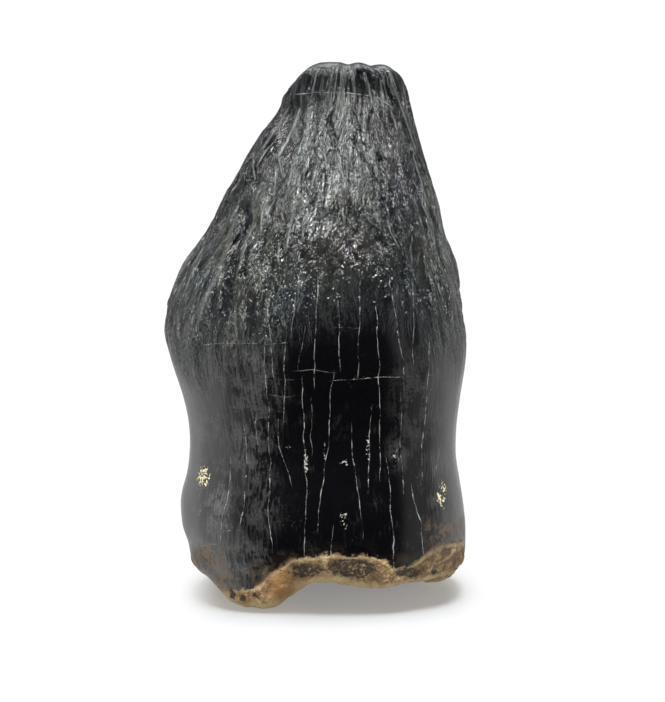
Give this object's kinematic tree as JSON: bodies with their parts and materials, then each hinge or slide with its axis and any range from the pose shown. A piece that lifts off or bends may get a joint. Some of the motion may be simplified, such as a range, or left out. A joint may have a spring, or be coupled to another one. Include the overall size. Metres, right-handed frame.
{
  "type": "fossil dinosaur tooth",
  "caption": "Spatulate fossil tooth standing on its broken root: bulging wrinkled outer face, hollowed inner face, leaning worn tip, smooth waisted root and a ragged foot.",
  "frame": {"origin": "on the ground under the middle of the tooth's width and depth", "axes": "+Z from the broken root up to the worn tip, -Y out of the bulging outer face, +X to the side that the tip leans to"},
  "size_m": [0.0304, 0.0212, 0.0535],
  "materials": {
    "black_fossil": "satin"
  },
  "bodies": {
    "root": {"tooth": "black_fossil"}
  },
  "joints": []
}
